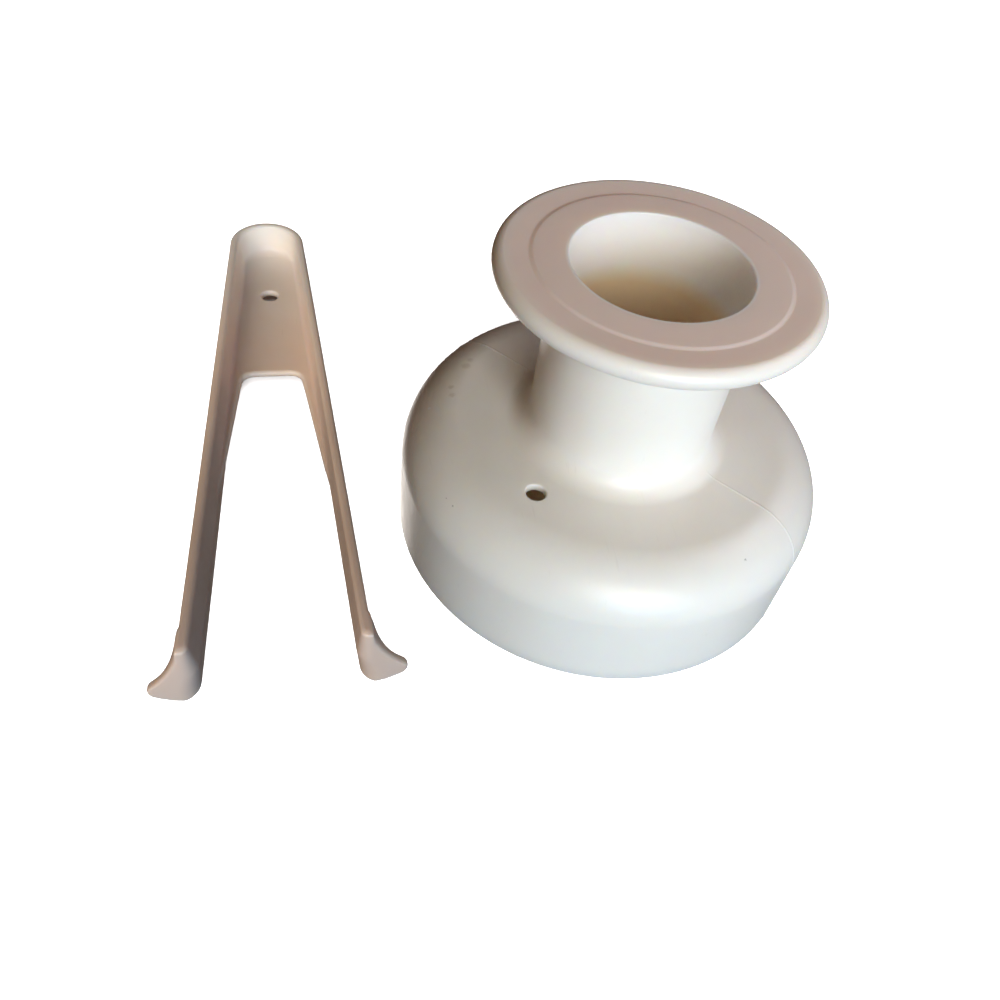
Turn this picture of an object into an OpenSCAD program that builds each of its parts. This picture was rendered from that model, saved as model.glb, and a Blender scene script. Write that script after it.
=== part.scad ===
// Collecting pot for a ward, with the fork that lifts it by the neck. Sizes in mm.
// The pot stands on Z = 0 with its axis on Z; the fork lies beside it on the same ground, parallel to Y.

// Sub-part to draw, or "all"

/* [Pot body] */
// Outside diameter of the upright wall
body_d = 180; // [150:1:220]
// Height of the upright wall, ground to the start of the shoulder
skirt_h = 35.2; // [20:0.1:80]
// Radius of the rounded shoulder
shoulder_r = 22; // [12:0.5:30]
// Wall thickness of the body
wall_t = 3; // [2:0.1:5]

/* [Neck and flange] */
// Outside diameter of the neck
neck_d = 76.4; // [60:0.2:90]
// Diameter of the mouth, which runs down the neck
bore_d = 67.6; // [50:0.2:80]
// Radius of the fillet where the neck leaves the shoulder
neck_fillet_r = 9.5; // [4:0.5:14]
// Radius that opens the lower end of the mouth inside the body
throat_r = 6; // [2:0.5:8]
// Height of the whole pot
pot_h = 135.2; // [110:0.2:180]
// Outside diameter of the flange
flange_d = 122.6; // [100:0.2:150]
// Thickness of the flange; its rim is a full round of half this radius
flange_t = 8.2; // [5:0.1:12]
// Diameter of the raised land round the mouth
land_d = 94.4; // [80:0.2:100]
// Height of the step down from the land
land_step = 0.8; // [0.4:0.1:2]

/* [Vent] */
// Diameter of the vent in the shoulder
vent_d = 8; // [4:0.5:12]
// Distance of the vent from the pot's axis
vent_at = 56.6; // [52:0.1:62]
// Direction of the vent round the pot, in degrees from +X
vent_turn = -140; // [-180:1:180]

/* [Floor] */
// Thickness of the floor disc
floor_t = 3; // [2:0.1:5]
// Width of the rebate in the wall that the disc is welded into
rebate_w = 1.4; // [0.8:0.1:2]
// Height of the ring that centres the disc inside the wall
ring_h = 6; // [3:0.5:12]
// Thickness of the centring ring
ring_t = 2; // [1.5:0.1:3]
// Gap left round the disc and its ring before welding
weld_gap = 0.1; // [0.05:0.05:0.3]

/* [Fork] */
// Height of the fork's walls
fork_h = 35; // [20:0.5:50]
// Outside radius of the rounded end
bow_r = 18.8; // [14:0.1:26]
// Length from the centre of the rounded end to the front of the feet
fork_len = 254; // [200:0.2:300]
// Width of a wall along its rim
rim_w = 3.9; // [3:0.1:6]
// Lean of the walls' inner faces, both ways from mid height
wall_draft = 5; // [1:0.5:8]
// Rounding of the rims' edges
rim_round = 1; // [0.4:0.1:1.5]
// Gap between the legs and the mouth when the fork is in the neck
leg_gap = 0.4; // [0.2:0.1:1.5]

/* [Fork web] */
// Thickness of the web that joins the legs at mid height
web_t = 3.5; // [2.5:0.1:6]
// Distance of the web's lip from the centre of the rounded end
lip_at = 88.2; // [60:0.2:120]
// Half the width of the gap between the legs at the lip
lip_half = 13.4; // [10:0.1:18]
// Radius of the gap's corners beside the lip
lip_corner_r = 6; // [3:0.5:9]
// Distance from the rounded end's centre at which the web has run out along the legs
web_end = 167; // [130:1:200]
// Radius of the fillet between web and walls
web_fillet_r = 2; // [1:0.1:4]
// Diameter of the hanging hole
hole_d = 8; // [4:0.5:12]
// Distance of the hole in front of the rounded end's centre
hole_at = 26.4; // [15:0.1:40]

/* [Feet] */
// How far a foot reaches outside its leg
foot_reach = 13.8; // [8:0.1:20]
// Thickness of the foot
foot_t = 4; // [3:0.1:8]
// Height of the foot's tip above the ground
foot_tip_z = 8.4; // [6:0.1:20]
// Radius of the foot's tip, seen from the front
foot_tip_r = 3.9; // [2:0.1:6]
// Radius of the hollow upper edge, from the leg's rim down to the tip
foot_hollow_r = 42; // [30:1:80]
// Radius of the sweep from the leg's outer face to the back of the foot
foot_sweep_r = 7; // [4:0.5:12]
// Radius of the turn from the leg's inner face to the front of the foot
foot_turn_r = 8; // [4:0.5:9]

/* [Layout] */
// Gap between the pot's wall and the nearer foot
foot_to_pot = 6.5; // [2:0.1:60]
// Position of the rounded end's centre along Y
bow_y = 172.7; // [100:0.1:260]

/* [Hidden] */
$fn = 96;
body_r = body_d / 2;
neck_r = neck_d / 2;
bore_r = bore_d / 2;
flange_r = flange_d / 2;
land_r = land_d / 2;
flange_edge_r = flange_t / 2;
// Top of the shoulder, and the ceiling under it
shoulder_z = skirt_h + shoulder_r;
ceiling_z = shoulder_z - wall_t;
flange_z = pot_h - flange_t;
inner_r = body_r - wall_t;
inner_shoulder_r = shoulder_r - wall_t;

// Round outlines stand this far past the straight ones that they run into, so that the two cross
hair = 0.03;

// Where the feet begin to sweep out; the legs splay so that there they fill the mouth less the gap.
// Angles are rounded to a hundredth of a degree, so that swept pieces meet face to face.
sweep_at = fork_len - foot_t - foot_sweep_r;
splay = round(100 * atan((bore_r - leg_gap - bow_r) / sweep_at)) / 100;
mid_z = fork_h / 2;
web_top = mid_z + web_t / 2;
foot_half = bore_r - leg_gap + foot_reach;
fork_x = -(body_r + foot_to_pot + foot_half);
// The gap in the web opens from the lip to the legs' inner faces at the web's end, with a round corner
half_at_end = bow_r / cos(splay) + web_end * tan(splay) - rim_w - mid_z * tan(wall_draft);
gap_lean = round(100 * atan((half_at_end - lip_half) / (web_end - lip_at))) / 100;
corner_x = lip_half + lip_corner_r * tan(gap_lean) - lip_corner_r / cos(gap_lean);
corner_y = -(lip_at + lip_corner_r);
// Thickness of a wall at height z, from mid height up
function wall_at(z) = rim_w + (fork_h - z) * tan(wall_draft);

// One corner of a profile: the region between two square edges and an arc tangent to both
module fillet_corner(r) {
    difference() {
        square(r);
        translate([r, r]) circle(r);
    }
}

// Half section of the pot's outside, filled to the axis
module pot_outside() {
    square([body_r, skirt_h]);
    translate([0, skirt_h]) square([body_r - shoulder_r, shoulder_r]);
    translate([body_r - shoulder_r, skirt_h]) circle(shoulder_r);
    translate([0, shoulder_z]) square([neck_r, flange_z - shoulder_z]);
    translate([neck_r, shoulder_z]) fillet_corner(neck_fillet_r);
    translate([0, flange_z]) square([flange_r - flange_edge_r, flange_t]);
    translate([flange_r - flange_edge_r, flange_z + flange_edge_r]) circle(flange_edge_r);
}

// Half section of the hollow: body, throat and mouth
module pot_inside() {
    translate([0, -1]) square([inner_r, skirt_h + 1]);
    translate([0, skirt_h]) square([inner_r - inner_shoulder_r, inner_shoulder_r]);
    translate([inner_r - inner_shoulder_r, skirt_h]) circle(inner_shoulder_r);
    translate([0, ceiling_z - 1]) square([bore_r, pot_h - ceiling_z + 2]);
    translate([bore_r, ceiling_z]) fillet_corner(throat_r);
}

// Shallow ring that leaves the land standing and rises again to the flange's rim
module flange_dish() {
    polygon([
        [land_r, pot_h + 1],
        [land_r, pot_h],
        [land_r + land_step, pot_h - land_step],
        [flange_r - flange_edge_r, pot_h],
        [flange_r - flange_edge_r, pot_h + 1]
    ]);
}

module pot_shell() {
    color("#ece8e2")
    difference() {
        rotate_extrude()
        difference() {
            pot_outside();
            pot_inside();
            flange_dish();
            translate([inner_r - 1, -1]) square([rebate_w + 1, floor_t + 1]);
        }
        rotate([0, 0, vent_turn])
        translate([vent_at, 0, ceiling_z - 2])
        cylinder(d = vent_d, h = wall_t + 4);
    }
}

module floor_disc() {
    color("#e6e2dc") {
        cylinder(r = inner_r + rebate_w - weld_gap, h = floor_t);
        translate([0, 0, floor_t])
        rotate_extrude()
        translate([inner_r - weld_gap - ring_t, 0])
        square([ring_t, ring_h]);
    }
}

// Upper half of a wall's section: outer face on x = bow_r, rim on top, inner face leaning to mid height
module wall_half() {
    rim_in = bow_r - rim_w;
    lean = tan(wall_draft) * rim_round;
    polygon([
        [bow_r, mid_z],
        [bow_r, fork_h - rim_round],
        [bow_r - rim_round, fork_h],
        [rim_in + rim_round, fork_h],
        [rim_in - lean, fork_h - rim_round],
        [bow_r - wall_at(mid_z), mid_z]
    ]);
    translate([bow_r - rim_round, fork_h - rim_round]) circle(rim_round);
    translate([rim_in + rim_round - lean, fork_h - rim_round]) circle(rim_round);
}

module wall_section() {
    wall_half();
    translate([0, fork_h]) mirror([0, 1]) wall_half();
}

// Fillet between web and wall, upper side, at a wall whose outer face is on x = bow_r.
// Its arc is sunk a little into both, so that the surfaces cross.
module web_fillet_half() {
    sunk = 0.1;
    centre_z = web_top + web_fillet_r - sunk;
    centre_x = bow_r - wall_at(centre_z) - web_fillet_r / cos(wall_draft) + sunk;
    wall_x = bow_r - wall_at(web_top) + 1;
    difference() {
        translate([centre_x, web_top - 1]) square([wall_x - centre_x, web_fillet_r + 1 - sunk]);
        translate([centre_x, centre_z]) circle(web_fillet_r);
    }
}

module web_fillets() {
    web_fillet_half();
    translate([0, fork_h]) mirror([0, 1]) web_fillet_half();
}

// Sweeps a section round half of the rounded end, from one leg to a little past the middle
module round_the_bow() {
    past = 1;
    rotate([0, 0, splay]) rotate_extrude(angle = 90 - splay + past) children();
}

// Sweeps a section down one leg, the one on the +X side
module down_the_leg(length) {
    rotate([0, 0, splay]) rotate([90, 0, 0]) linear_extrude(length) children();
}

module both_legs() {
    children();
    mirror([1, 0, 0]) children();
}

// Half the outline of the gap in the web, on the +X side
module web_gap() {
    side = [corner_x + lip_corner_r * cos(gap_lean), corner_y + lip_corner_r * sin(gap_lean)];
    run = fork_len + side[1];
    polygon([
        [-1, -lip_at],
        [corner_x, -lip_at],
        side,
        [side[0] + run * tan(gap_lean), -fork_len],
        [-1, -fork_len]
    ]);
    translate([corner_x, corner_y]) circle(lip_corner_r + hair);
}

// Web between the legs
module web() {
    floor_in = bow_r - rim_w;
    translate([0, 0, mid_z - web_t / 2])
    linear_extrude(web_t)
    difference() {
        union() {
            circle(floor_in);
            polygon([
                [-floor_in, 0],
                [floor_in, 0],
                [floor_in + web_end * tan(splay), -web_end],
                [-floor_in - web_end * tan(splay), -web_end]
            ]);
        }
        web_gap();
        mirror([1, 0]) web_gap();
    }
}

// The leg's section at the foot: the wall, and outside it the foot with its hollow upper edge and low tip
module foot_section() {
    tip = [bow_r + foot_reach - foot_tip_r, foot_tip_z];
    rim_end = [bow_r + rim_round / 2, fork_h];
    across = tip - rim_end;
    span = norm(across);
    to_tip = foot_hollow_r + foot_tip_r - hair;
    along = (foot_hollow_r * foot_hollow_r - to_tip * to_tip + span * span) / (2 * span);
    aside = sqrt(foot_hollow_r * foot_hollow_r - along * along);
    hollow = rim_end + (along * across + aside * [-across[1], across[0]]) / span;
    under = atan2(tip[1], tip[0] - bow_r) - asin(foot_tip_r / norm(tip - [bow_r, 0]));
    wall_section();
    difference() {
        union() {
            polygon([
                [bow_r - 1.5 * rim_round, 0],
                [bow_r, 0],
                tip + foot_tip_r * [sin(under), -cos(under)],
                tip + [foot_tip_r / 2, 0],
                rim_end + [foot_tip_r, 0],
                [bow_r - 1.5 * rim_round, fork_h]
            ]);
            translate(tip) circle(foot_tip_r + hair);
        }
        translate(hollow) circle(foot_hollow_r);
    }
}

// Plan of the leg's end: a block with a rounded turn at its front, a sweep at its back and a rounded tip.
// It starts a little inside the leg's inner face, which then trims it.
module foot_plan() {
    past = 0.4;
    front = -fork_len;
    back = front + foot_t;
    tip_r = foot_t / 2;
    tip_x = bow_r + foot_reach - tip_r;
    inner_x = bow_r - wall_at(mid_z) - past;
    difference() {
        translate([inner_x, front]) square([tip_x - inner_x, foot_t + foot_sweep_r]);
        translate([inner_x - hair, front - hair]) fillet_corner(foot_turn_r);
        translate([bow_r + foot_sweep_r, back + foot_sweep_r]) circle(foot_sweep_r);
        translate([bow_r + foot_sweep_r, back]) square(2 * foot_sweep_r);
    }
    translate([tip_x, front + tip_r]) circle(tip_r);
}

// A leg with its foot, on the +X side: the swept wall, then the end as its section trimmed by its plan
module leg_and_foot() {
    down_the_leg(sweep_at) wall_section();
    rotate([0, 0, splay])
    intersection() {
        translate([0, -sweep_at, 0])
        rotate([90, 0, 0])
        linear_extrude(fork_len - sweep_at + 1)
        foot_section();
        translate([0, 0, -1]) linear_extrude(fork_h + 2) foot_plan();
    }
}

module lifting_fork() {
    color("#e4ddd3")
    translate([fork_x, bow_y, 0])
    difference() {
        union() {
            both_legs() round_the_bow() wall_section();
            both_legs() leg_and_foot();
            web();
            both_legs() round_the_bow() web_fillets();
            both_legs() down_the_leg(lip_at) web_fillets();
        }
        translate([0, -hole_at, mid_z - web_t]) cylinder(d = hole_d, h = 2 * web_t);
    }
}

pot_shell();
floor_disc();
lifting_fork();
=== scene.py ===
# %% [markdown]
# # A ward pot and its lifting fork
# The part is a squat collecting pot with a flanged neck, and a loose fork that lies beside it. Both
# are moulded in one warm white plastic. The CAD model gives their sizes and places, and this lesson
# dresses it: every mesh made here takes the place of a CAD solid, stays in its box, and rides on
# its body.

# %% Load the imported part
import math

import bmesh
import bpy
from mathutils import Matrix, Vector


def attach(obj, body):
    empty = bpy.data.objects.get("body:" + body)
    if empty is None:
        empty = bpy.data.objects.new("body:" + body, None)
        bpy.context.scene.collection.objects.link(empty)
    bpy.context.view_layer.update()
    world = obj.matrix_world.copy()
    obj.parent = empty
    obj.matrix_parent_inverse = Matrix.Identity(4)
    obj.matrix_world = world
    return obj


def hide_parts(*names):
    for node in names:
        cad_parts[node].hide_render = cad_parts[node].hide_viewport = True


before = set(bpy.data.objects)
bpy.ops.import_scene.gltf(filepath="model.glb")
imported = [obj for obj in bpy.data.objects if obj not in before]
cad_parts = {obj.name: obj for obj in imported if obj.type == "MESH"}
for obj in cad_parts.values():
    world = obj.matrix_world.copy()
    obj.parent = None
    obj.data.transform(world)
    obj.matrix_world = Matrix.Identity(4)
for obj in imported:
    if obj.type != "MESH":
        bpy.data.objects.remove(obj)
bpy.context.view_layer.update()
scene = bpy.context.scene

# %% [markdown]
# ## The camera
# The photo was taken from close above the pot, with the camera a little tilted. A pinhole camera
# was fitted to the pot's outline beforehand. Its place, three turns and focal length are enough to
# set up Blender's camera: the lens is the focal length in pixels, scaled to the width of the
# sensor.

# %% Put the camera where the photo was taken
CAMERA_PLACE = Vector((-0.1262, -0.2565, 0.3086))
CAMERA_YAW = 0.3036
CAMERA_PITCH = 0.8345
CAMERA_ROLL = -0.1628
FOCAL_PIXELS = 889.74
PHOTO_PIXELS = 1000

flat = math.cos(CAMERA_PITCH)
ahead = Vector((math.sin(CAMERA_YAW) * flat, math.cos(CAMERA_YAW) * flat, -math.sin(CAMERA_PITCH)))
level = Vector((math.cos(CAMERA_YAW), -math.sin(CAMERA_YAW), 0))
below = ahead.cross(level)
right = level * math.cos(CAMERA_ROLL) + below * math.sin(CAMERA_ROLL)
up = right.cross(ahead)

camera_data = bpy.data.cameras.new("photo_camera")
camera_data.sensor_width = 36
camera_data.lens = camera_data.sensor_width * FOCAL_PIXELS / PHOTO_PIXELS
camera_data.clip_start = 0.01
camera = bpy.data.objects.new("photo_camera", camera_data)
scene.collection.objects.link(camera)
turn = Matrix((right, up, -ahead)).transposed()
camera.matrix_world = Matrix.Translation(CAMERA_PLACE) @ turn.to_4x4()
scene.camera = camera
print("lens:", round(camera_data.lens, 2), "mm")

# %% [markdown]
# ## Outlines and turned solids
# A pot is a solid of revolution, so it is drawn as one closed outline, radius against height, and
# swept round the axis. Blender's Screw modifier would do that, but here some angles need to be
# closer together than others, so the sweep is a few lines of bmesh. Sizes are written in
# millimetres, as a maker would, and scaled once.

# %% Helpers for outlines and sweeps
MM = 0.001


def arc(centre, radius, start, end, steps):
    """Points round a centre, from one angle to another in degrees."""
    turns = [math.radians(start + (end - start) * i / steps) for i in range(steps + 1)]
    return [(centre[0] + radius * math.cos(t), centre[1] + radius * math.sin(t)) for t in turns]


def new_piece(name, build):
    """A mesh object from a bmesh, smooth all over."""
    bmesh.ops.recalc_face_normals(build, faces=build.faces)
    mesh = bpy.data.meshes.new(name)
    build.to_mesh(mesh)
    build.free()
    mesh.shade_smooth()
    piece = bpy.data.objects.new(name, mesh)
    scene.collection.objects.link(piece)
    return piece


def join_rows(build, rows, closed):
    """Quads between neighbouring rows of vertices; closed rows join the last row to the first."""
    pairs = list(zip(rows, rows[1:] + rows[:1])) if closed else list(zip(rows, rows[1:]))
    for one, other in pairs:
        for i in range(len(one) - 1):
            corners = []
            for corner in (one[i], one[i + 1], other[i + 1], other[i]):
                if corner not in corners:
                    corners.append(corner)
            if len(corners) > 2:
                build.faces.new(corners)


def apply_modifiers(piece):
    """Keep what the modifiers made as the piece's own mesh."""
    made = bpy.data.meshes.new_from_object(piece.evaluated_get(bpy.context.evaluated_depsgraph_get()))
    piece.modifiers.clear()
    piece.data = made
    made.name = piece.name


# %% [markdown]
# ## The pot's outline
# The CAD section has true sizes but sharp corners. A moulding has none: its ground edge, the edge
# of the mouth and the step of the land round the mouth are all a little rounded, and it is these
# small rounds that catch the light. The outline runs from the ground edge up the outside, over the
# flange and down the inside.

# %% Draw the pot's outline
BODY_R, SKIRT_H, SHOULDER_R, WALL_T = 90, 35.2, 22, 3
NECK_R, BORE_R, NECK_FILLET_R, THROAT_R = 38.2, 33.8, 9.5, 6
POT_H, FLANGE_R, FLANGE_T = 135.2, 61.3, 8.2
LAND_R, LAND_STEP, LAND_STEP_HALF_W = 47.6, 0.4, 1.1
REBATE_W, FLOOR_T = 1.4, 3
EDGE_R, COLLAR_R = 0.6, 1

shoulder_z = SKIRT_H + SHOULDER_R
ceiling_z = shoulder_z - WALL_T
inner_r = BODY_R - WALL_T
rim_r = FLANGE_T / 2
rim_in = FLANGE_R - rim_r
under_flange = POT_H - FLANGE_T
# Rings of points that only divide the long straight faces
wall_rings = [(BODY_R, SKIRT_H / 3), (BODY_R, SKIRT_H * 2 / 3)]
neck_rings = [(NECK_R, shoulder_z + 30), (NECK_R, under_flange - 15)]
bore_rings = [(BORE_R, POT_H - 25), (BORE_R, POT_H - 50)]


def land_step_curve(steps):
    """The step down from the land, as a soft S, walked inwards from the dish."""
    points = []
    for i in range(steps + 1):
        along = 1 - 2 * i / steps
        drop = LAND_STEP * (1 + math.sin(along * math.pi / 2)) / 2
        points.append((LAND_R + along * LAND_STEP_HALF_W, POT_H - drop))
    return points


outside = (
    arc((BODY_R - EDGE_R, EDGE_R), EDGE_R, -90, 0, 4)
    + wall_rings
    + arc((BODY_R - SHOULDER_R, SKIRT_H), SHOULDER_R, 0, 90, 22)
    + arc((NECK_R + NECK_FILLET_R, shoulder_z + NECK_FILLET_R), NECK_FILLET_R, -90, -180, 14)
)
neck_and_flange = (
    neck_rings
    + arc((NECK_R + COLLAR_R, under_flange - COLLAR_R), COLLAR_R, 180, 90, 4)
    + arc((rim_in, under_flange + rim_r), rim_r, -90, 90, 22)
    + land_step_curve(8)
)
inside = (
    arc((BORE_R + EDGE_R, POT_H - EDGE_R), EDGE_R, 90, 180, 5)
    + bore_rings
    + arc((BORE_R + THROAT_R, ceiling_z + THROAT_R), THROAT_R, 180, 270, 8)
    + arc((BODY_R - SHOULDER_R, SKIRT_H), SHOULDER_R - WALL_T, 90, 0, 14)
    + [(inner_r, FLOOR_T), (inner_r + REBATE_W, FLOOR_T), (inner_r + REBATE_W, 0)]
)
outline = outside + neck_and_flange + inside
print("outline points:", len(outline))

# %% [markdown]
# ## The mould's parting ridge
# The two halves of the mould leave a fine raised line that runs down the fillet, over the shoulder
# and down the wall, on both sides of the pot. It is a real shape of less than half a millimetre, so
# it is made in the mesh: the sweep takes closer angles there, and the points on the outside are
# lifted along the outline's own direction.

# %% Sweep the pot round its axis
RIDGE_AT = (-48.5, 131.5)
RIDGE_HEIGHT = 0.2
RIDGE_HALF_WIDTH = 0.55
RIDGE_TOP_R, RIDGE_FADE = 42, 3
COARSE_STEP = 2.5
NEAR_RIDGE, CLEAR_OF_RIDGE = (0.12, 0.24, 0.36, 0.5, 0.7, 1, 1.5), 1.8


def sweep_angles():
    """Angles round the pot in degrees: even steps, and closer ones by each ridge."""
    near = [at + side * step for at in RIDGE_AT for step in NEAR_RIDGE for side in (-1, 1)]
    even = [-180 + COARSE_STEP * i for i in range(int(360 / COARSE_STEP))]
    clear = [a for a in even if min(abs(a - at) for at in RIDGE_AT) > CLEAR_OF_RIDGE]
    return sorted(near + list(RIDGE_AT) + clear)


def ridge_lift(radius, angle, share):
    """How far a point on the outside is lifted by the nearer ridge."""
    across = min(abs(math.radians(angle - at)) for at in RIDGE_AT) * radius
    return share * RIDGE_HEIGHT * math.exp(-((across / RIDGE_HALF_WIDTH) ** 2) * 2)


def outline_normals(points):
    """Unit direction out of the solid at each point of an outline drawn anticlockwise."""
    normals = []
    for i in range(len(points)):
        before, after = points[i - 1], points[(i + 1) % len(points)]
        along = Vector((after[0] - before[0], after[1] - before[1])).normalized()
        normals.append(Vector((along.y, -along.x)))
    return normals


def sweep_pot():
    """The closed outline at every angle, joined into one skin."""
    build = bmesh.new()
    normals = outline_normals(outline)
    rows = []
    for angle in sweep_angles():
        ring = []
        for i, (r, z) in enumerate(outline):
            share = min(1, max(0, (r - RIDGE_TOP_R) / RIDGE_FADE)) if i < len(outside) else 0
            lifted = Vector((r, z)) + normals[i] * ridge_lift(r, angle, share)
            turn = math.radians(angle)
            place = (lifted.x * math.cos(turn), lifted.x * math.sin(turn), max(0, lifted.y))
            ring.append(build.verts.new([v * MM for v in place]))
        rows.append(ring + ring[:1])
    join_rows(build, rows, closed=True)
    return new_piece("pot_moulding", build)


pot = sweep_pot()
print("pot faces before the vent:", len(pot.data.polygons))

# %% [markdown]
# ## The vent
# One small hole goes through the flat of the shoulder. A Boolean modifier drills it, with a drill
# that flares where it leaves the plastic, so the hole gets a rounded edge in the same cut.

# %% Drill the vent
VENT_R, VENT_AT, VENT_TURN = 4, 56.6, -140
VENT_EDGE_R = 0.7
DRILL_BELOW, DRILL_ABOVE, DRILL_STEPS = 8, 4, 48


def turned_drill(radius, top, edge_r):
    """A drill on the Z axis whose edge flares into a rounded edge at the height top."""
    profile = (
        [(0, top - DRILL_BELOW), (radius, top - DRILL_BELOW)]
        + arc((radius + edge_r, top - edge_r), edge_r, 180, 90, 5)
        + [(radius + edge_r, top + DRILL_ABOVE), (0, top + DRILL_ABOVE)]
    )
    build = bmesh.new()
    rows = []
    for i in range(DRILL_STEPS):
        turn = 2 * math.pi * i / DRILL_STEPS
        c, s = math.cos(turn), math.sin(turn)
        rows.append([build.verts.new((r * c * MM, r * s * MM, z * MM)) for r, z in profile])
    join_rows(build, rows, closed=True)
    bmesh.ops.remove_doubles(build, verts=build.verts, dist=1e-7)
    return new_piece("vent_drill", build)


drill = turned_drill(VENT_R, shoulder_z, VENT_EDGE_R)
vent_turn = math.radians(VENT_TURN)
drill.location = (VENT_AT * math.cos(vent_turn) * MM, VENT_AT * math.sin(vent_turn) * MM, 0)
cut = pot.modifiers.new("vent", "BOOLEAN")
cut.object = drill
cut.operation = "DIFFERENCE"
cut.solver = "EXACT"
bpy.context.view_layer.update()
apply_modifiers(pot)
bpy.data.objects.remove(drill)
pot.data.set_sharp_from_angle(angle=math.radians(40))
pot.modifiers.new("even shading", "WEIGHTED_NORMAL").keep_sharp = True

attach(pot, "pot")
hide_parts("pot_shell")
print("pot faces with the vent:", len(pot.data.polygons))

# %% [markdown]
# ## The fork's plan
# The fork is one moulding too: a tall wall bent round a hairpin, a web across it at mid height, and
# feet where the wall turns outwards. Everywhere its surfaces run into each other with a soft
# radius, which the sharp CAD solid can't show. Bevelling that solid would fail at its tangent
# edges, so the fork is lofted: sections are placed along the wall, from the rounded end down one
# leg to the tip of the foot, and a Mirror modifier makes the other half. In plan, a point on a leg
# is found by u, its distance out from the leg's own axis, and v, its distance along it.

# %% Plan of a leg
FORK_PLACE = Vector((-143.7, 172.7, 0))
FORK_H, FORK_LEN, BOW_R = 35, 254, 18.8
RIM_W, WALL_DRAFT, RIM_ROUND = 3.9, math.radians(5), 1.5
SPLAY = math.radians(3.44)

mid_z = FORK_H / 2
leg_lean = mid_z * math.tan(WALL_DRAFT)
leg_t = RIM_W + leg_lean
leg_out = Vector((math.cos(SPLAY), math.sin(SPLAY)))
leg_on = Vector((math.sin(SPLAY), -math.cos(SPLAY)))


def on_leg(u, v):
    """Plan point at u outwards and v along the leg on the +X side."""
    return leg_out * u + leg_on * v


print("leg thickness at mid height:", round(leg_t, 2), "mm")

# %% [markdown]
# ## Where the web ends
# Walking along the wall, the web ends in turn on the fork's centre line, round the hole, on the
# centre line again, along the lip, round the lip's corner and down the narrow strip beside the leg.
# One list of such ends, each with the direction into the plastic, is all that the loft needs. On
# the centre line the mirror closes the web, so there the direction is left empty.

# %% List the web's ends
WEB_T, LIP_AT, LIP_HALF, LIP_CORNER_R, WEB_END = 3.5, 88.2, 13.4, 6, 167
HOLE_R, HOLE_AT = 4, 26.4

half_at_end = BOW_R / math.cos(SPLAY) + WEB_END * math.tan(SPLAY) - leg_t
gap_lean = math.atan((half_at_end - LIP_HALF) / (WEB_END - LIP_AT))
corner_x = LIP_HALF + LIP_CORNER_R * (math.tan(gap_lean) - 1 / math.cos(gap_lean))
corner = Vector((corner_x, -LIP_AT - LIP_CORNER_R))


def spread(start, end, count):
    """Evenly spread values, both ends included."""
    return [start + (end - start) * i / (count - 1) for i in range(count)]


def round_end(centre, radius, angle):
    """A web end on a round edge: its plan point and the direction into the plastic."""
    away = Vector((math.cos(angle), math.sin(angle)))
    return centre + away * radius, away


def strip_end(v):
    """The web end beside the leg: where the straight side of the gap crosses the leg's section at v."""
    side, away = round_end(corner, LIP_CORNER_R, gap_lean)
    along = Vector((math.sin(gap_lean), -math.cos(gap_lean)))
    reach = (v - side.dot(leg_on)) / along.dot(leg_on)
    return side + along * reach, leg_out


# Each entry: v of the section, where the web ends on it, and the direction into the plastic
web_ends = []
# On the centre line, up to the hole
for v, y in zip(spread(3, 18, 4), spread(-4, -20, 4)):
    web_ends.append((v, Vector((0, y)), None))
# Round the hole
for v, angle in zip(spread(20, 33, 13), spread(math.pi / 2, -math.pi / 2, 13)):
    web_ends.append((v, *round_end(Vector((0, -HOLE_AT)), HOLE_R, angle)))
# On the centre line, up to the lip
for v, y in zip(spread(36, 82, 6), spread(-33, -84, 6)):
    web_ends.append((v, Vector((0, y)), None))
# Along the lip
for v, x in zip(spread(84.5, 89, 5), spread(0, corner.x, 5)):
    web_ends.append((v, Vector((x, -LIP_AT)), Vector((0, 1))))
# Round the lip's corner
for v, angle in zip(spread(90, 94.5, 7), spread(math.radians(80), gap_lean, 7)):
    web_ends.append((v, *round_end(corner, LIP_CORNER_R, angle)))
# Down the strip beside the leg
for v in spread(98, WEB_END - 14, 9):
    web_ends.append((v, *strip_end(v)))
print("sections with a web:", len(web_ends))

# %% [markdown]
# ## One section of the fork
# Every section across the wall has the same number of points, so neighbours join in quads: round
# the web's end, along the web, up the fillet, up the wall's inner face, over the rim and down the
# outer face to mid height. The lower half is its mirror image. Where there is no web, inner and
# outer face carry points at the same levels.

# %% Points of a section
NOSE, WEB, FILLET, FACE, RIM = 5, 5, 5, 11, 6
WEB_FILLET_R, BOW_FILLET_R, NOSE_R, HOLE_EDGE_R = 2, 5, 1.75, 1

web_half = WEB_T / 2
face_start = web_half + WEB_FILLET_R
face_end = mid_z - RIM_ROUND
lower_levels = spread(0, face_start, NOSE + WEB + FILLET)
face_levels = spread(face_start, face_end, FACE + 2)[1:-1]
rim_turns = spread(0, math.pi / 2, RIM)
# Height above or below mid height, and how far the rim's rounding has drawn the faces in there
LEVELS = [(height, 0) for height in lower_levels + face_levels]
LEVELS += [(face_end + RIM_ROUND * math.sin(t), RIM_ROUND * (1 - math.cos(t))) for t in rim_turns]


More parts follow.
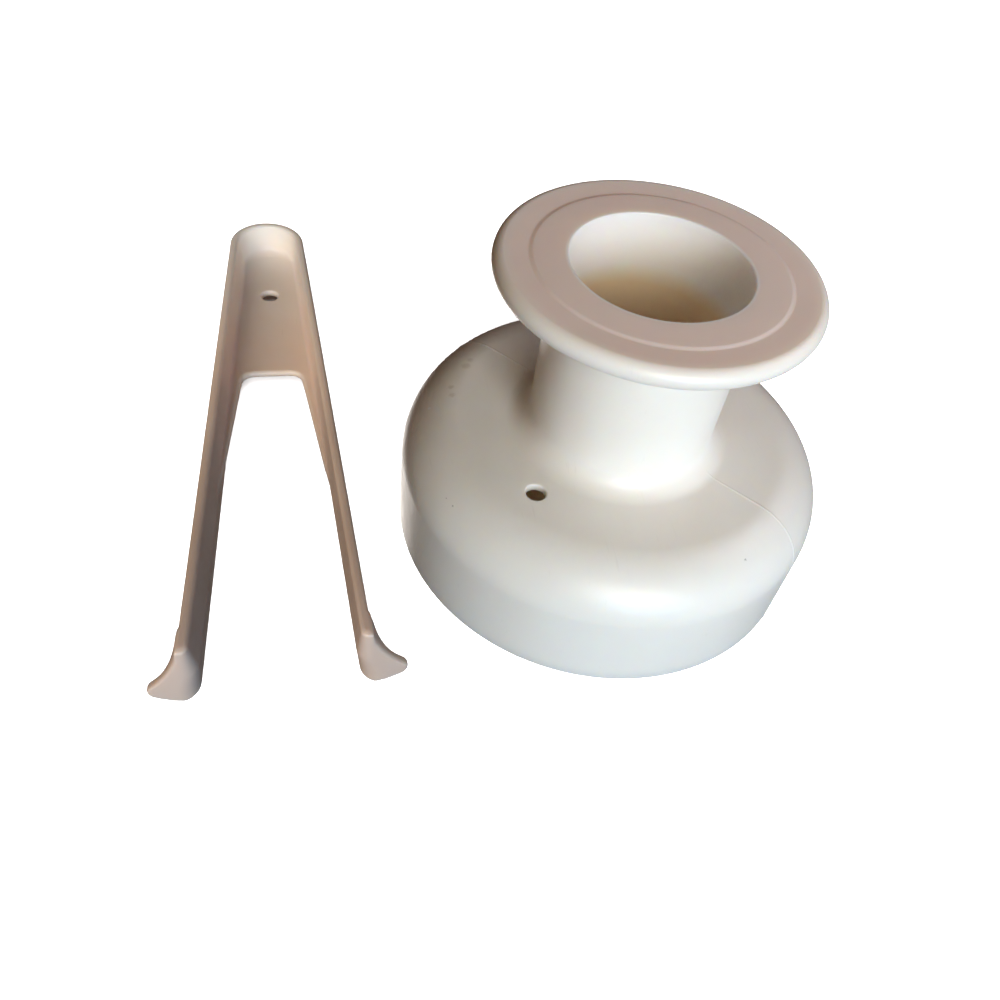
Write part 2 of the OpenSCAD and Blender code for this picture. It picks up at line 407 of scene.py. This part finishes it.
def web_points(inner, inward, end, away, fillet_r, nose_r):
    """The web's end, the web and the fillet, as plan points with heights."""
    draft = math.atan(leg_lean / mid_z)
    centre_h = web_half + fillet_r
    centre = inner - inward * (leg_lean * centre_h / mid_z) + inward * (fillet_r / math.cos(draft))
    nose = away * nose_r if away else Vector((0, 0))
    points = []
    for turn in spread(0, math.pi / 2, NOSE + 1)[:-1]:
        points.append((end + nose * (1 - math.cos(turn)), web_half * math.sin(turn)))
    for share in spread(0, 1, WEB + 1)[:-1]:
        points.append(((end + nose).lerp(centre, share), web_half))
    for turn in spread(0, math.pi / 2 - draft, FILLET):
        points.append((centre - inward * (fillet_r * math.sin(turn)), centre_h - fillet_r * math.cos(turn)))
    return points


def half_section(inner, outer, web=None):
    """Plan points with heights from the web's end over the rim to the outer face at mid height."""
    inward = (inner - outer).normalized()
    face = [(inner - inward * (leg_lean * h / mid_z + inset), h) for h, inset in LEVELS]
    back = [(outer + inward * inset, h) for h, inset in LEVELS]
    if web:
        front = web_points(inner, inward, *web)
        above = spread(front[-1][1], face_end, FACE + 2)[1:-1]
        front += [(inner - inward * (leg_lean * h / mid_z), h) for h in above]
        face[: len(front)] = front
    return face + back[::-1]


print("points in half a section:", 2 * len(LEVELS))

# %% [markdown]
# ## The foot
# At the end of the leg the wall runs on to the front, and a plate grows out of its outer side. The
# foot is built from level outlines, one for each level of the wall: along the inner face, round the
# turn to the front, out to where the plate ends at that height, and back over the sweep to the
# outer face. Stacked, they give the hollow upper edge, the low rounded tip and the rising lower
# edge. The turn is wide near the ground and tight at the rim, as in the photo.

# %% Outlines of the foot
FOOT_REACH, FOOT_T, FOOT_SWEEP_R = 13.8, 4, 7
LOW_TURN_R, HIGH_TURN_R = 8, 2.6
FOOT_TIP_Z, FOOT_TIP_R, FOOT_HOLLOW_R, HOLLOW_START = 8.4, 3.9, 42, 0.5
FOOT_START, FRONT_POINTS, END_POINTS, BACK_POINTS = 236, 26, 11, 18
END_DEPTH, LEAST_DEPTH, END_ROUNDNESS, TURN_STEPS = 2, 0.15, 0.7, 24

foot_tip = Vector((BOW_R + FOOT_REACH - FOOT_TIP_R, FOOT_TIP_Z))
rim_end = Vector((BOW_R + HOLLOW_START, FORK_H))
across = foot_tip - rim_end
to_tip = FOOT_HOLLOW_R + FOOT_TIP_R
along = (FOOT_HOLLOW_R**2 - to_tip**2 + across.length_squared) / (2 * across.length)
aside = math.sqrt(FOOT_HOLLOW_R**2 - along**2)
hollow = rim_end + (across * along + Vector((-across.y, across.x)) * aside) / across.length
hollow_end_z = foot_tip.y + FOOT_TIP_R * (hollow - foot_tip).normalized().y
reach_out = foot_tip - Vector((BOW_R, 0))
under = math.atan2(reach_out.y, reach_out.x) - math.asin(FOOT_TIP_R / reach_out.length)
lower_end_z = foot_tip.y - FOOT_TIP_R * math.cos(under)


def plate_end(z):
    """How far out the plate reaches at a height: lower edge, rounded tip, hollow upper edge."""
    if z < lower_end_z:
        return BOW_R + z / math.tan(under)
    if z < hollow_end_z:
        return foot_tip.x + math.sqrt(FOOT_TIP_R**2 - (z - foot_tip.y) ** 2)
    return hollow.x - math.sqrt(FOOT_HOLLOW_R**2 - (z - hollow.y) ** 2)


def resample(points, count):
    """So many points at even steps along a path."""
    lengths = [0]
    for one, other in zip(points, points[1:]):
        lengths.append(lengths[-1] + math.dist(one, other))
    made = []
    for goal in spread(0, lengths[-1], count):
        i = max(1, next((k for k, far in enumerate(lengths) if far >= goal - 1e-9), len(lengths) - 1))
        share = (goal - lengths[i - 1]) / max(1e-9, lengths[i] - lengths[i - 1])
        made.append(Vector(points[i - 1]).lerp(Vector(points[i]), share))
    return made


def foot_outline(z, inset):
    """The foot's outline at a height in u and v, drawn in by the rounding of the rim."""
    inner_u = BOW_R - leg_t + leg_lean * abs(z - mid_z) / mid_z
    tight = max(0, z - FOOT_TIP_Z) / (FORK_H - FOOT_TIP_Z)
    full_r = LOW_TURN_R + (HIGH_TURN_R - LOW_TURN_R) * tight
    softer = inset if z > mid_z else 0
    turn_u, turn_v, turn_r = inner_u + full_r, FORK_LEN - full_r - softer, full_r - inset
    sweep_u, sweep_v = BOW_R + FOOT_SWEEP_R, FORK_LEN - FOOT_T - FOOT_SWEEP_R
    sweep_r = FOOT_SWEEP_R + inset
    outer_u = BOW_R - inset
    end_u = plate_end(z) - inset
    depth = min(END_DEPTH, max(LEAST_DEPTH, end_u - outer_u))
    cap_u = end_u - depth

    turned = math.degrees(math.acos(max(-1, min(0, (cap_u - turn_u) / turn_r))))
    front = [(inner_u + inset, FOOT_START), *arc((turn_u, turn_v), turn_r, 180, turned, TURN_STEPS)]
    if cap_u > turn_u:
        front.append((cap_u, turn_v + turn_r))
    swept = math.degrees(math.acos(max(-1, min(0, (cap_u - sweep_u) / sweep_r))))
    back = [*arc((sweep_u, sweep_v), sweep_r, swept, 180, TURN_STEPS), (outer_u, FOOT_START)]
    if cap_u > sweep_u:
        back.insert(0, (cap_u, sweep_v + sweep_r))

    middle, half = (front[-1][1] + back[0][1]) / 2, (front[-1][1] - back[0][1]) / 2
    cap = []
    for turn in spread(math.pi / 2, -math.pi / 2, END_POINTS + 2)[1:-1]:
        rise = math.copysign(abs(math.sin(turn)) ** END_ROUNDNESS, turn)
        out = math.cos(turn) ** END_ROUNDNESS
        cap.append(Vector((cap_u + depth * out, middle + half * rise)))
    return resample(front, FRONT_POINTS) + cap + resample(back, BACK_POINTS)


print("points in a foot outline:", len(foot_outline(mid_z, 0)))

# %% [markdown]
# ## Loft the fork
# The sections run round half of the rounded end and down the leg with its web, and the stacked
# outlines take over where the foot begins. Where two neighbouring sections both end on a real edge
# of the web, the strip round that edge is joined as well.

# %% Place the sections
BOW_SECTIONS, BOW_FILLET_TURN = 17, 1.2
# Where the web of the first and last of these sections meets the centre line
BOW_WEB_FIRST, BOW_WEB_LAST = 8, -0.5
# A fillet or a rounded end takes no more than this share of the web's width
MOST_OF_WEB = 0.4
PLAIN_LEG_AT = (WEB_END - 4, WEB_END + 15, 205, 225, FOOT_START)

sections = []
bow_turns = spread(math.pi / 2, SPLAY, BOW_SECTIONS)
for turn, y in zip(bow_turns, spread(BOW_WEB_FIRST, BOW_WEB_LAST, BOW_SECTIONS)):
    out = Vector((math.cos(turn), math.sin(turn)))
    soft = BOW_FILLET_R + (WEB_FILLET_R - BOW_FILLET_R) * min(1, (math.pi / 2 - turn) / BOW_FILLET_TURN)
    web = (Vector((0, y)), None, soft, 0)
    sections.append((half_section(out * (BOW_R - leg_t), out * BOW_R, web), False))
for v, end, away in web_ends:
    inner, outer = on_leg(BOW_R - leg_t, v), on_leg(BOW_R, v)
    width = (inner - end).length
    nose_r = HOLE_EDGE_R if v < LIP_AT / 2 else min(NOSE_R, MOST_OF_WEB * width)
    web = (end, away, min(WEB_FILLET_R, MOST_OF_WEB * width), nose_r)
    sections.append((half_section(inner, outer, web), away is not None))
for v in PLAIN_LEG_AT:
    sections.append((half_section(on_leg(BOW_R - leg_t, v), on_leg(BOW_R, v)), True))
print("sections:", len(sections))


# %% Join them and mirror the half
def loft_fork():
    """Half of the fork as one skin; the mirror plane stays open."""
    build = bmesh.new()
    rows = []
    for points, closed in sections:
        up = [build.verts.new((plan.x, plan.y, mid_z + h)) for plan, h in points]
        first = 1 if closed else 0
        below = [build.verts.new((plan.x, plan.y, mid_z - h)) for plan, h in points[first:-1]]
        rows.append((up, up[:first] + below + up[-1:], closed))
    for one, other in zip(rows, rows[1:]):
        first = 0 if one[2] and other[2] else NOSE
        for half in (0, 1):
            join_rows(build, [one[half][first:], other[half][first:]], closed=False)

    up, down, _ = rows[-1]
    stacks = []
    for half, way in ((up, 1), (down, -1)):
        stack = []
        for k, (height, inset) in enumerate(LEVELS):
            if k == 0 and stacks:
                stack.append(stacks[0][0])
                continue
            z = mid_z + way * height
            plans = [on_leg(*p) for p in foot_outline(z, inset)[1:-1]]
            stack.append([half[k]] + [build.verts.new((p.x, p.y, z)) for p in plans] + [half[-1 - k]])
        join_rows(build, stack, closed=False)
        build.faces.new(stack[-1])
        stacks.append(stack)

    loose = [v for v in build.verts if not v.link_faces]
    bmesh.ops.delete(build, geom=loose, context="VERTS")
    bmesh.ops.scale(build, vec=(MM, MM, MM), verts=build.verts)
    return new_piece("fork_moulding", build)


fork = loft_fork()
fork.location = FORK_PLACE * MM
mirror = fork.modifiers.new("other leg", "MIRROR")
mirror.use_clip = True
mirror.merge_threshold = 1e-6
bpy.context.view_layer.update()
apply_modifiers(fork)
fork.modifiers.new("even shading", "WEIGHTED_NORMAL").keep_sharp = True

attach(fork, "fork")
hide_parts("lifting_fork")
print("fork faces:", len(fork.data.polygons))

# %% [markdown]
# ## Building materials from nodes
# A material is a small graph: textures feed colours, colours feed the shader. Making each node
# takes a few lines in Python, so one helper makes a node, sets its plain inputs and links the
# others. The rest are short names for the nodes that are used most.

# %% Helpers for material nodes
def add_node(tree, kind, inputs=None, **settings):
    """A new node; each input is a plain value or the output of another node."""
    made = tree.nodes.new(kind)
    for name, value in settings.items():
        setattr(made, name, value)
    for name, value in (inputs or {}).items():
        if isinstance(value, bpy.types.NodeSocket):
            tree.links.new(value, made.inputs[name])
        else:
            made.inputs[name].default_value = value
    return made


def blend_colour(tree, share, one, other, mode="MIX"):
    """So much of other laid over one; each is a colour or an output."""
    mix = add_node(tree, "ShaderNodeMix", {0: share}, data_type="RGBA", blend_type=mode)
    for index, colour in ((6, one), (7, other)):
        if isinstance(colour, bpy.types.NodeSocket):
            tree.links.new(colour, mix.inputs[index])
        else:
            mix.inputs[index].default_value = (*colour, 1)
    return mix.outputs[2]


def maths(tree, operation, one, other):
    """One sum of two values or outputs."""
    return add_node(tree, "ShaderNodeMath", {0: one, 1: other}, operation=operation).outputs[0]


def vectors(tree, operation, one, other, output="Vector"):
    """One sum of two vectors or outputs."""
    made = add_node(tree, "ShaderNodeVectorMath", {0: one, 1: other}, operation=operation)
    return made.outputs[output]


# %% Helpers for noise and fades
def noise(tree, place, scale, detail=2):
    """Soft noise with so many lumps to the metre."""
    made = add_node(tree, "ShaderNodeTexNoise", {"Vector": place, "Scale": scale, "Detail": detail})
    return made.outputs["Fac"]


def remap(tree, value, low, high, to_low=0.0, to_high=1.0):
    """Turn values from low to high into values from to_low to to_high, and hold the ends."""
    inputs = {"Value": value, "From Min": low, "From Max": high, "To Min": to_low, "To Max": to_high}
    return add_node(tree, "ShaderNodeMapRange", inputs).outputs["Result"]


def fade(tree, value, nought_at, one_at):
    """Nought at one measure and one at the other, both in millimetres, and even between them."""
    return remap(tree, value, nought_at * MM, one_at * MM)


# %% [markdown]
# ## The plastic
# Pot, floor and fork are moulded in one warm white plastic, with no paint on it. Such a plastic is
# never one flat colour: its pigment is a little cloudy, its skin has the faint grain of the mould
# and a slow waviness that bends the reflections, fine scratches dull it, and a few specks are
# moulded in. Light goes a little way into it, which softens the shade. Colour, scratches and skin
# are three short functions that draw on noise, and a last one puts them together for a piece with
# its own tint and roughness.

# %% Pigment, scratches and skin
# Lumps of each kind to the metre
CLOUDS, SPECK_CELLS, SCRATCHES, PATCHES, DULLING, WAVES, GRAIN = 24, 75, 1100, 60, 70, 40, 1600
SPECK_COLOUR, SPECK_STRENGTH = (0.20, 0.16, 0.12), 0.6
SCRATCH_COLOUR, SCRATCH_STRENGTH = (0.50, 0.46, 0.41), 0.12
SCRATCH_STRETCH, SCRATCH_TURN = (1, 0.06, 0.2), (0.3, 0.2, 0.6)


def cloudy_pigment(tree, place, tint, cloud):
    """The plastic's colour between two tints, with a speck in a few of its cells."""
    clouds = remap(tree, noise(tree, place, CLOUDS, 3), 0.35, 0.65)
    colour = blend_colour(tree, clouds, tint, cloud)
    cells = add_node(tree, "ShaderNodeTexVoronoi", {"Vector": place, "Scale": SPECK_CELLS})
    rare = remap(tree, cells.outputs["Color"], 0.86, 0.88)
    speck = maths(tree, "MULTIPLY", remap(tree, cells.outputs["Distance"], 0.02, 0.04, 1, 0), rare)
    return blend_colour(tree, maths(tree, "MULTIPLY", speck, SPECK_STRENGTH), colour, SPECK_COLOUR)


def scratch_mask(tree, place):
    """How strongly fine scratches show; they run one way and come in patches."""
    run = {"Vector": place, "Scale": SCRATCH_STRETCH, "Rotation": SCRATCH_TURN}
    stretched = add_node(tree, "ShaderNodeMapping", run).outputs["Vector"]
    scratches = remap(tree, noise(tree, stretched, SCRATCHES, 1), 0.66, 0.76)
    patches = remap(tree, noise(tree, place, PATCHES, 3), 0.5, 0.7)
    return maths(tree, "MULTIPLY", maths(tree, "MULTIPLY", scratches, patches), SCRATCH_STRENGTH)


def moulded_skin(tree, place):
    """Direction of the surface, with slow waves and the fine grain of the mould."""
    waves = {"Height": noise(tree, place, WAVES, 1), "Strength": 0.25, "Distance": 0.0012}
    wavy = add_node(tree, "ShaderNodeBump", waves).outputs["Normal"]
    grain = {"Height": noise(tree, place, GRAIN), "Strength": 0.12, "Distance": 0.0001, "Normal": wavy}
    return add_node(tree, "ShaderNodeBump", grain).outputs["Normal"]


# %% Make the moulded plastic, and put it on a piece
# How far the roughness strays to either side
GLOSSIER, DULLER = 0.04, 0.06


def moulded_plastic(name, tint, cloud, roughness):
    """The plastic; returns the material, its tree, the place on the piece and the colour so far."""
    material = bpy.data.materials.new(name)
    material.use_nodes = True
    tree = material.node_tree
    shader = tree.nodes["Principled BSDF"]
    place = add_node(tree, "ShaderNodeTexCoord").outputs["Object"]

    scratched = scratch_mask(tree, place)
    pigment = cloudy_pigment(tree, place, tint, cloud)
    colour = blend_colour(tree, scratched, pigment, SCRATCH_COLOUR)
    glossiest, dullest = roughness - GLOSSIER, roughness + DULLER
    dulled = remap(tree, noise(tree, place, DULLING, 4), 0.3, 0.7, glossiest, dullest)
    tree.links.new(maths(tree, "ADD", dulled, scratched), shader.inputs["Roughness"])
    tree.links.new(moulded_skin(tree, place), shader.inputs["Normal"])
    shader.inputs["Subsurface Weight"].default_value = 0.6
    shader.inputs["Subsurface Radius"].default_value = (1, 0.7, 0.45)
    shader.inputs["Subsurface Scale"].default_value = 0.007
    shader.inputs["IOR"].default_value = 1.5
    return material, tree, place, colour


def dress(piece, material, colour):
    """Send the finished colour to the shader, and give the piece this material alone."""
    tree = material.node_tree
    tree.links.new(colour, tree.nodes["Principled BSDF"].inputs["Base Color"])
    piece.data.materials.clear()
    piece.data.materials.append(material)
    print(material.name, "nodes:", len(tree.nodes))


# %% [markdown]
# ## Marks, and painted light and shade on the pot
# The photo shows a few brown smudges and specks on the shoulder. They are laid over the plastic at
# their places on the pot, measured from the photo. The bore is painted lighter than the wall near
# the mouth, painted light for the light that reaches into it, and brown further down, painted shade.
# The flange's top is painted pinker, painted shade where little of the window's light falls. Those
# painted tints, and scuffs on the edge that the pot stands on, follow the radius and the height, so
# that they run right round.

# %% Lay marks on a surface
MARK_COLOUR, DUST_COLOUR = (0.22, 0.17, 0.13), (0.95, 0.94, 0.92)
# How far a mark's edge strays in millimetres, lumps in it to the metre, and the share that is full colour
MARK_RAGGED, MARK_LUMPS, MARK_CORE = 1.4, 900, 0.4
# Places on the pot and radii, in millimetres
SMUDGES = ((-58.7, 39.9, 57, 2.6), (-56.3, 43.9, 57, 1.8), (-67.3, 26.8, 56.8, 1.7), (-67.7, 21.4, 57, 1.8))
SPECKS = ((31.2, -73.7, 53.6, 0.6), (-77.3, -30.9, 51, 0.5), (-75.4, -35.2, 51.1, 0.5), (63, -54, 54, 0.6))
DUST = ((-77.8, 17.2, 53.9, 1.1), (-89.8, -5.9, 35.5, 0.7))


def marks_mask(tree, place, marks):
    """One where a mark lies, with a ragged edge."""
    ragged = add_node(tree, "ShaderNodeTexNoise", {"Vector": place, "Scale": MARK_LUMPS, "Detail": 2})
    either_way = vectors(tree, "SUBTRACT", ragged.outputs["Color"], (0.5, 0.5, 0.5))
    moved = vectors(tree, "ADD", place, vectors(tree, "MULTIPLY", either_way, (MARK_RAGGED * MM,) * 3))
    mask = 0.0
    for x, y, z, radius in marks:
        far = vectors(tree, "DISTANCE", moved, (x * MM, y * MM, z * MM), "Value")
        mask = maths(tree, "MAXIMUM", mask, fade(tree, far, radius, MARK_CORE * radius))
    return mask


print("marks on the pot:", len(SMUDGES + SPECKS + DUST))

# %% Dress the pot
# Tint, tint of the clouds in it, roughness
POT_LOOK = (0.90, 0.85, 0.775), (0.885, 0.825, 0.745), 0.33
# Painted light in the bore near the mouth, and painted brown shade further down it
BORE_PAINTED_LIGHT, DEEP_BORE_PAINTED_SHADE = (0.97, 0.945, 0.90), (0.97, 0.79, 0.59)
# Painted shade on the flange's top: pinker, where little of the window's light falls
FLANGE_TOP_PAINTED_SHADE = (0.88, 0.765, 0.695)
# Radii or heights in millimetres where each painted tint or the scuffs begin, and where they are full
BORE_PAINTED_LIGHT_FADE, DEEP_BORE_PAINTED_SHADE_FADE = (35.5, 34.2), (113, 104)
FLANGE_SHADE_RADIUS_FADE, FLANGE_SHADE_HEIGHT_FADE = (60, 54), (131.5, 134)
SCUFF_FADE, SCUFF_LUMPS, SCUFF_STRENGTH = (5, 0.5), 220, 0.3

pot_plastic, tree, place, colour = moulded_plastic("pot_plastic_painted_light_and_shade", *POT_LOOK)
for marks, strength, shade in (
    (SMUDGES, 0.22, MARK_COLOUR),
    (SPECKS, 0.6, MARK_COLOUR),
    (DUST, 0.8, DUST_COLOUR),
):
    mask = maths(tree, "MULTIPLY", marks_mask(tree, place, marks), strength)
    colour = blend_colour(tree, mask, colour, shade)

axes = add_node(tree, "ShaderNodeSeparateXYZ", {"Vector": place}).outputs
height = axes["Z"]
flat_place = add_node(tree, "ShaderNodeCombineXYZ", {"X": axes["X"], "Y": axes["Y"]}).outputs[0]
radius = vectors(tree, "DISTANCE", flat_place, (0, 0, 0), "Value")
# Painted shade: the flange's top is tinted pinker
flange_painted_shade = maths(tree, "MULTIPLY", fade(tree, height, *FLANGE_SHADE_HEIGHT_FADE), fade(tree, radius, *FLANGE_SHADE_RADIUS_FADE))
colour = blend_colour(tree, flange_painted_shade, colour, FLANGE_TOP_PAINTED_SHADE)
# Painted light near the bore's mouth, fading to painted brown shade deeper in the bore
bore_painted_light_and_shade = blend_colour(tree, fade(tree, height, *DEEP_BORE_PAINTED_SHADE_FADE), BORE_PAINTED_LIGHT, DEEP_BORE_PAINTED_SHADE)
colour = blend_colour(tree, fade(tree, radius, *BORE_PAINTED_LIGHT_FADE), colour, bore_painted_light_and_shade)
scuffed = maths(tree, "MULTIPLY", fade(tree, height, *SCUFF_FADE), noise(tree, place, SCUFF_LUMPS, 4))
colour = blend_colour(tree, maths(tree, "MULTIPLY", scuffed, SCUFF_STRENGTH), colour, SCRATCH_COLOUR)
dress(pot, pot_plastic, colour)

# %% [markdown]
# ## The floor disc
# The floor is a separate disc welded into the pot from below. It shows only at the bottom of the
# bore and underneath, so the CAD solid stays and takes a finish of its own: the same plastic, a
# little darker and duller.

# %% Dress the floor disc
FLOOR_LOOK = (0.90, 0.84, 0.76), (0.87, 0.80, 0.71), 0.45

floor_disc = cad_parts["floor_disc"]
floor_plastic, tree, place, colour = moulded_plastic("floor_plastic_finish", *FLOOR_LOOK)
dress(floor_disc, floor_plastic, colour)

# %% [markdown]
# ## The fork's painted shade
# The fork is the same plastic. A colour ramp along its length, with a ragged edge, multiplies the
# plastic's colour: painted shade that makes it darker and browner from the rounded end down to the
# feet.

# %% Dress the fork
FORK_LOOK = (0.96, 0.91, 0.85), (0.94, 0.88, 0.815), 0.36
# Millimetres from the rounded end's centre towards the feet, and the painted shade there: what the colour
# is multiplied by
FORK_PAINTED_SHADE = {
    0: (1, 0.93, 0.87),
    80: (0.95, 0.78, 0.66),
    150: (0.66, 0.55, 0.46),
    210: (0.53, 0.44, 0.37),
    254: (0.60, 0.51, 0.45),
}
FORK_SHADE_RAGGED, FORK_SHADE_LUMPS = 12, 30

fork_plastic, tree, place, colour = moulded_plastic("fork_plastic_painted_shade", *FORK_LOOK)
# Painted shade: the ramp darkens and browns the fork from the rounded end to the feet
lumps = noise(tree, place, FORK_SHADE_LUMPS, 3)
ragged = remap(tree, lumps, 0.3, 0.7, -FORK_SHADE_RAGGED * MM, FORK_SHADE_RAGGED * MM)
along_fork = add_node(tree, "ShaderNodeSeparateXYZ", {"Vector": place}).outputs["Y"]
down_leg = remap(tree, maths(tree, "ADD", along_fork, ragged), 0, -FORK_LEN * MM)
painted_shade_ramp = add_node(tree, "ShaderNodeValToRGB", {"Fac": down_leg})
stops = painted_shade_ramp.color_ramp.elements
for i, (far, shade) in enumerate(FORK_PAINTED_SHADE.items()):
    stop = stops[i] if i < 2 else stops.new(far / FORK_LEN)
    stop.position = far / FORK_LEN
    stop.color = (*shade, 1)
colour = blend_colour(tree, 1.0, colour, painted_shade_ramp.outputs["Color"], "MULTIPLY")
dress(fork, fork_plastic, colour)

# %% [markdown]
# ## A pale sweep to stand on
# The photo's background is plain white. A studio gets that from a sweep, a sheet that lies flat
# under the object and curls up behind it, with lamps of its own so that it stays white. Here it is
# a turned sheet all round. It is kept out of bounced light and casts no shade, so that it neither
# brightens the object nor hides the windows.

# %% Make the sweep
SWEEP_FLAT, SWEEP_CURL, SWEEP_TOP, SWEEP_DROP = 0.8, 0.35, 1.6, 0.0003
CURL_STEPS, SWEEP_STEPS = 12, 64


def turned_sheet(name, profile, steps):
    """A sheet turned round the Z axis; the profile starts on the axis."""
    build = bmesh.new()
    middle = build.verts.new((0, 0, profile[0][1]))
    rows = []
    for i in range(steps):
        turn = 2 * math.pi * i / steps
        c, s = math.cos(turn), math.sin(turn)
        rows.append([middle] + [build.verts.new((r * c, r * s, z)) for r, z in profile[1:]])
    join_rows(build, rows, closed=True)
    return new_piece(name, build)


curl = arc((SWEEP_FLAT, SWEEP_CURL), SWEEP_CURL, -90, 0, CURL_STEPS)
sweep = turned_sheet("sweep", [(0, 0), *curl, (SWEEP_FLAT + SWEEP_CURL, SWEEP_TOP)], SWEEP_STEPS)
sweep.location.z = -SWEEP_DROP
sweep.visible_diffuse = False
sweep.visible_glossy = False
sweep.visible_shadow = False
print("sweep faces:", len(sweep.data.polygons))

# %% Dress the sweep
SWEEP_COLOUR, FIBRES, FIBRE_SHADE = (0.80, 0.80, 0.80), 300, 0.98

card = bpy.data.materials.new("pale_card")
card.use_nodes = True
tree = card.node_tree
place = add_node(tree, "ShaderNodeTexCoord").outputs["Object"]
fibres = remap(tree, noise(tree, place, FIBRES, 3), 0.3, 0.7)
tree.nodes["Principled BSDF"].inputs["Roughness"].default_value = 0.9
dress(sweep, card, blend_colour(tree, fibres, SWEEP_COLOUR, [c * FIBRE_SHADE for c in SWEEP_COLOUR]))

# %% [markdown]
# ## Light
# The shine on the shoulder and neck suggests where the light stood: in front of the pot, low, and
# wide. Level faces are brown and dim, upright ones white and faintly blue. So there are two soft
# windows, one above the other, the upper one warm and the lower one cool, with a small near fill
# from the right and a dim brown room. The shade on the fork suggests that its upper window stood
# further left, so it has its own, and a weak light behind. Linking tells a lamp which objects it
# lights. A lamp below the floor stands in for the light that a pale floor sends back up behind the
# pot. Two lamps are linked to the sweep alone: a high one whose shadows fall behind the objects,
# and a low one that reaches under the fork's lip but not as far as its hole, which stays dark.

# %% List the lamps
ROOM_COLOUR, ROOM_LIGHT = (1, 0.6, 0.42), 0.07
LIGHT_CENTRE = Vector((-0.05, 0.03, 0.06))
# Direction in degrees from +X, height in degrees, distance and size in metres,
# power in watts, colour, and what the lamp lights
LAMPS = {
    "pot_window": (-87, 25, 1.5, 0.9, 16, (1, 0.89, 0.74), (pot, floor_disc)),
    "fork_window": (-120, 25, 1.5, 0.9, 19, (1, 0.91, 0.84), (fork,)),
    "low_window": (-80, 8, 1.5, 0.9, 14.5, (0.39, 0.68, 1), (pot, floor_disc, fork)),
    "right_fill": (-5, 38, 0.5, 0.3, 0.45, (0.93, 0.9, 1), (pot, floor_disc)),
    "back_light": (100, 4, 1.5, 0.9, 2, (1, 0.97, 0.94), (fork,)),
    "floor_bounce": (100, -45, 1.5, 0.9, 6, (1, 0.95, 0.88), (pot, floor_disc)),
    "sweep_light": (-95, 55, 1.5, 0.8, 90, (1, 1, 1), (sweep,)),
    "sweep_low_light": (-95, 20, 1.5, 0.4, 60, (1, 1, 1), (sweep,)),
}
print("lamps:", ", ".join(LAMPS))

# %% Hang the lamps
scene.view_settings.view_transform = "Standard"
world = bpy.data.worlds.new("room")
scene.world = world
world.use_nodes = True
room = world.node_tree.nodes["Background"]
room.inputs["Color"].default_value = (*ROOM_COLOUR, 1)
room.inputs["Strength"].default_value = ROOM_LIGHT

for name, (azimuth, rise, far, size, power, colour, lit) in LAMPS.items():
    lamp_data = bpy.data.lights.new(name, "AREA")
    lamp_data.shape = "DISK"
    lamp_data.size = size
    lamp_data.energy = power
    lamp_data.color = colour
    lamp = bpy.data.objects.new(name, lamp_data)
    scene.collection.objects.link(lamp)
    turn, lift = math.radians(azimuth), math.radians(rise)
    out = Vector((math.cos(lift) * math.cos(turn), math.cos(lift) * math.sin(turn), math.sin(lift)))
    lamp.location = LIGHT_CENTRE + out * far
    lamp.rotation_euler = (-out).to_track_quat("-Z", "Y").to_euler()
    receivers = bpy.data.collections.new("lit_by_" + name)
    for piece in lit:
        receivers.objects.link(piece)
    lamp.light_linking.receiver_collection = receivers
print("room light:", ROOM_LIGHT)
